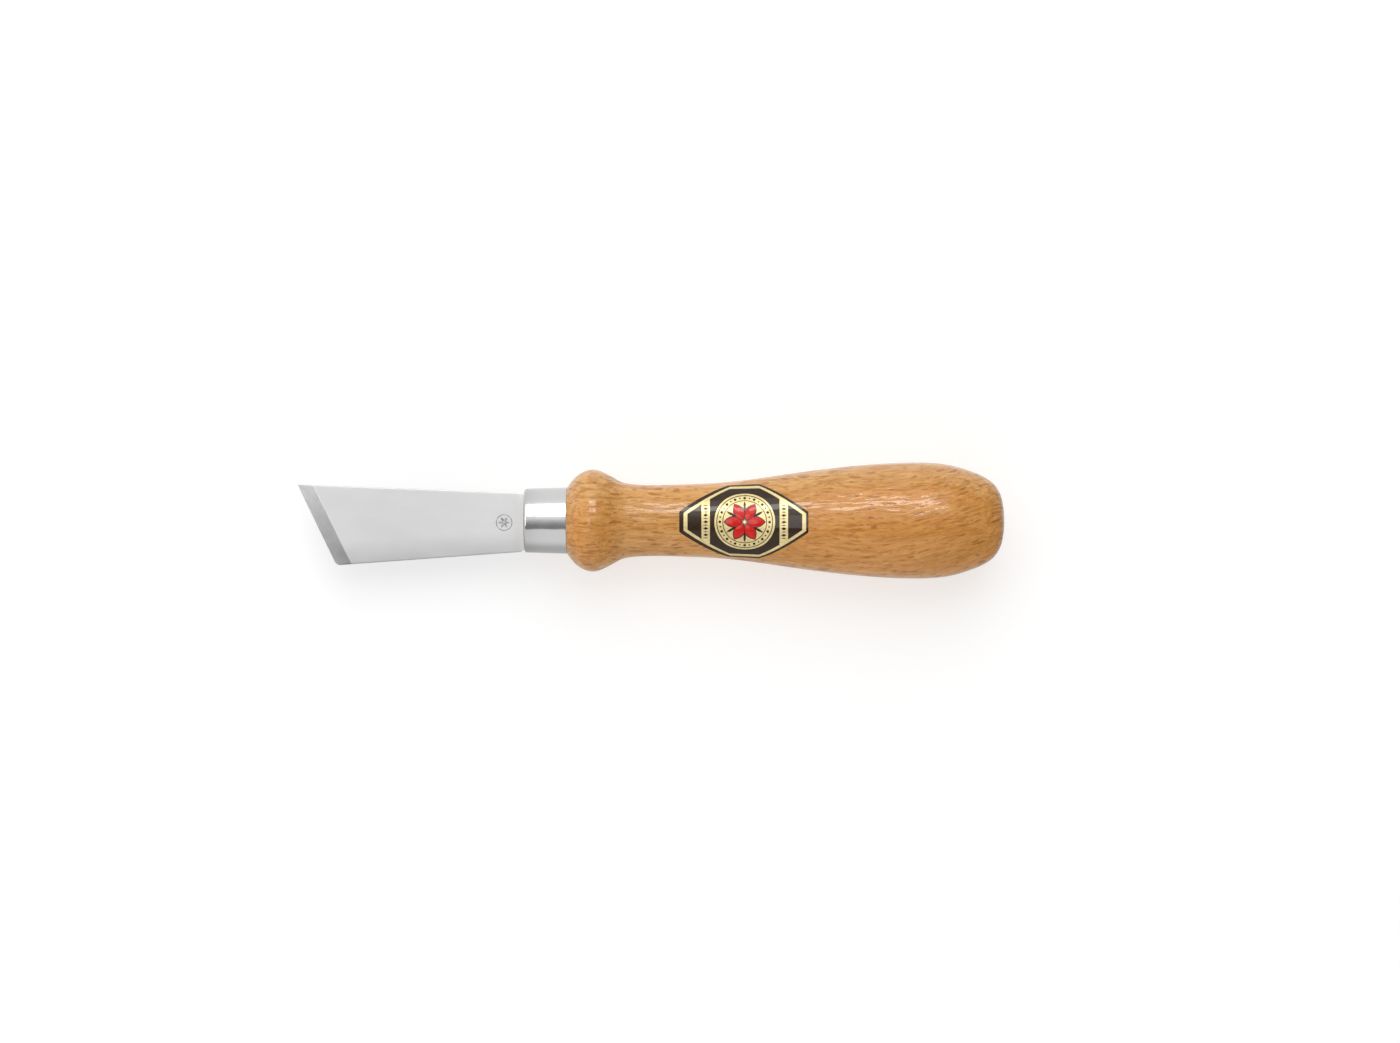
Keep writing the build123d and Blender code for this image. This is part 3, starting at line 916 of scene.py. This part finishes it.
def build_label(outline, gold_ink, black_ink, red_ink):
    middle = PRINT_SHIFT
    centre = (middle, 0.0)
    backing = LabelPrint(outline)
    backing.plate(flat_mesh(label_octagon(0.0, 0.0)), BURIED, BACKING_TOP)
    inner = label_octagon(LABEL_BORDER + LABEL_FRAME, LABEL_BORDER + SLANTED_FRAME, middle)
    for low_u, high_u in (
        (-FIELD_HALF_LENGTH, FIELD_HALF_LENGTH),
        (BAND_OUTER, LABEL_HALF_LENGTH),
        (-LABEL_HALF_LENGTH, -BAND_OUTER),
    ):
        field = clipped(inner, low_u + middle, high_u + middle, FIELD_HALF_WIDTH)
        backing.plate(field, GILDING_TOP - SINK, INK_TOP)

    gilding = LabelPrint(outline)
    gilded = label_octagon(LABEL_BORDER, LABEL_BORDER, middle)
    gilding.plate(flat_mesh(gilded), BACKING_TOP - SINK, GILDING_TOP)
    gilding.plate(flat_mesh(circle(centre, DISC_RADIUS, DISC_STEPS)), INK_TOP - SINK, DISC_TOP)
    rim = (circle(centre, DISC_RADIUS, DISC_STEPS), circle(centre, DISC_RADIUS - RIM_WIDTH, DISC_STEPS))
    gilding.plate(flat_mesh(*rim), DISC_TOP - SINK, RIM_TOP)

    for radius, width in RING_LINES:
        ring = (circle(centre, radius, DISC_STEPS), circle(centre, radius - width, DISC_STEPS))
        backing.plate(flat_mesh(*ring), DISC_TOP - SINK, DISC_INK_TOP)
    for i in range(BEAD_COUNT):
        turn = 2 * math.pi * i / BEAD_COUNT
        at = (middle + BEAD_RING * math.cos(turn), BEAD_RING * math.sin(turn))
        size = BEAD_RADII[i % 2]
        backing.plate(flat_mesh(circle(at, size, BEAD_STEPS)), DISC_TOP - SINK, DISC_INK_TOP)
    for side in (-1, 1):
        for i in range(-BAND_ORNAMENTS, BAND_ORNAMENTS + 1):
            u = middle + side * (FIELD_HALF_LENGTH + BAND_OUTER) / 2
            v = i * BAND_SPACING
            reach, half = BAND_LOZENGES[i % 2]
            lozenge = [(u + reach, v), (u, v + half), (u - reach, v), (u, v - half)]
            backing.plate(flat_mesh(lozenge), GILDING_TOP - SINK, INK_TOP)

    enamel = LabelPrint(outline)
    for i in range(PETAL_COUNT):
        angle = 2 * math.pi * i / PETAL_COUNT
        backing.plate(flat_mesh(petal(centre, *PETAL_BORDER, angle)), DISC_TOP - SINK, DISC_INK_TOP)
        enamel.plate(flat_mesh(petal(centre, *PETAL, angle)), DISC_TOP, dome(centre, *PETAL, angle))
        between = angle + math.pi / PETAL_COUNT
        backing.plate(flat_mesh(petal(centre, *SEPAL, between)), DISC_TOP - SINK, DISC_INK_TOP)

    backing.finish("label_backing", black_ink, "label_black")
    gilding.finish("label_gilding", gold_ink, "label_gold")
    enamel.finish("label_enamel", red_ink, "label_red")


# ---------------------------------------------------------------- ground, light and camera
def build_ground(outline):
    """A wide pale ground that the bead and the swelling both touch."""
    x, radius = outline
    bead_end = SHOULDER_X + BEAD_LENGTH
    slope = 0.0
    for _ in range(CONTACT_PASSES):
        reach = radius + slope * x
        bead = int(np.argmax(np.where(x < bead_end, reach, -np.inf)))
        belly = int(np.argmax(np.where(x > bead_end, reach, -np.inf)))
        slope = (radius[bead] - radius[belly]) / (x[belly] - x[bead])
    level = -(radius[bead] + slope * x[bead])
    half = GROUND_HALF_SIZE
    flat = flat_mesh([(-half, -half), (half, -half), (half, half), (-half, half)])
    for place in GROUND_LINES:
        cut_line(flat, (place, 0), (1, 0))
        cut_line(flat, (0, place), (0, 1))
    solid = bmesh.new()
    add_slab(
        solid, flat,
        lambda u, v: (u, v, level + slope * u),
        lambda u, v: (u, v, level + slope * u - GROUND_THICKNESS),
    )
    ground = make_object("ground", solid, paper())
    ground.data.transform(Matrix.Scale(MM, 4))
    ground.visible_glossy = False


def softbox(name, lean_x, lean_y, distance, width, height, radiance, gloss_only=False):
    """A rectangular light that faces the tool from this lean off the vertical, in degrees.

    Its width lies along the handle and its height across it, both in metres.
    """
    lean_x, lean_y = math.radians(lean_x), math.radians(lean_y)
    away = Vector((math.tan(lean_x), math.tan(lean_y), 1.0)).normalized()
    light = bpy.data.lights.new(name, "AREA")
    light.shape = "RECTANGLE"
    light.size = width
    light.size_y = height
    light.energy = radiance * math.pi * width * height
    lamp = bpy.data.objects.new(name, light)
    lamp.location = away * distance
    across = away.cross(Vector((1.0, 0.0, 0.0))).normalized()
    lamp.rotation_euler = Matrix((across.cross(away), across, away)).transposed().to_euler()
    lamp.visible_camera = False
    lamp.visible_diffuse = not gloss_only
    bpy.context.scene.collection.objects.link(lamp)


def build_lights():
    """One large softbox with a bright middle, and a smaller one towards the blade."""
    softbox("key", lean_x=0, lean_y=38, distance=1.0, width=0.9, height=0.87, radiance=1.0)
    softbox("key_centre", lean_x=1, lean_y=36, distance=0.98, width=0.62, height=0.25,
            radiance=8.0, gloss_only=True)
    softbox("second", lean_x=-21, lean_y=-3, distance=2.0, width=0.62, height=1.1,
            radiance=2.8, gloss_only=True)


def build_world():
    """A pale room with a dim strip overhead, along the handle, and a darker end beyond the butt."""
    world = bpy.data.worlds.new("pale_room")
    world.use_nodes = True
    bpy.context.scene.world = world
    g = Nodes(world.node_tree)
    x, y, z = g.split(g.node("ShaderNodeTexCoord", {}, "Generated"))

    # The dim strip lies between two leans off the vertical, and fades out towards the room's ends.
    lean = g.math("DIVIDE", y, g.math("MAXIMUM", z, 0.05))
    near_side = g.ease(lean, -0.66, -0.56)
    far_side = g.ease(lean, -0.36, 0.3, 1.0, 0.0)
    ends = g.ease(g.math("ABSOLUTE", x), 0.5, 0.8, 1.0, 0.0)
    strip = g.math("MULTIPLY", g.math("MULTIPLY", near_side, far_side), ends)

    # The rest of the room: each side brightens upwards, and it all darkens beyond the butt.
    front = g.ease(z, -0.45, 0.3, 0.53, 0.86)
    back = g.ease(z, 0.1, 0.5, 0.95, 1.05)
    sides = g.mix_values(g.ease(y, -0.15, 0.15), front, back)
    room = g.math("MULTIPLY", sides, g.ease(x, 0.1, 0.8, 1.0, 0.25))
    background = g.tree.nodes["Background"]
    background.inputs["Color"].default_value = rgb(1.0, 1.0, 1.0)
    g.tree.links.new(g.mix_values(strip, room, 0.25), background.inputs["Strength"])


def build_camera():
    camera = bpy.data.cameras.new("camera")
    camera.lens = CAMERA_LENS
    camera.sensor_width = CAMERA_SENSOR
    camera.clip_end = CAMERA_REACH
    holder = bpy.data.objects.new("camera", camera)
    holder.location = CAMERA_PLACE
    bpy.context.scene.collection.objects.link(holder)
    bpy.context.scene.camera = holder
    bpy.context.scene.view_settings.view_transform = "Standard"


def main():
    outline = handle_outline()
    build_handle(outline, beech())
    build_ferrule(nickel())
    build_blade(blade_steel(), ground_steel(*blade_corners()[:2]), struck_shade_steel())
    gold = label_print("label_gold_ink", GOLD_PALE, GOLD_DEEP, Metallic=0.25, Roughness=0.38)
    black = label_print("label_black_ink", BLACK_PALE, BLACK_DEEP, Roughness=0.4)
    red = label_print("label_red_enamel", RED_PALE, RED_DEEP, Roughness=0.3)
    build_label(outline, gold, black, red)
    build_ground(outline)
    build_lights()
    build_world()
    build_camera()


main()
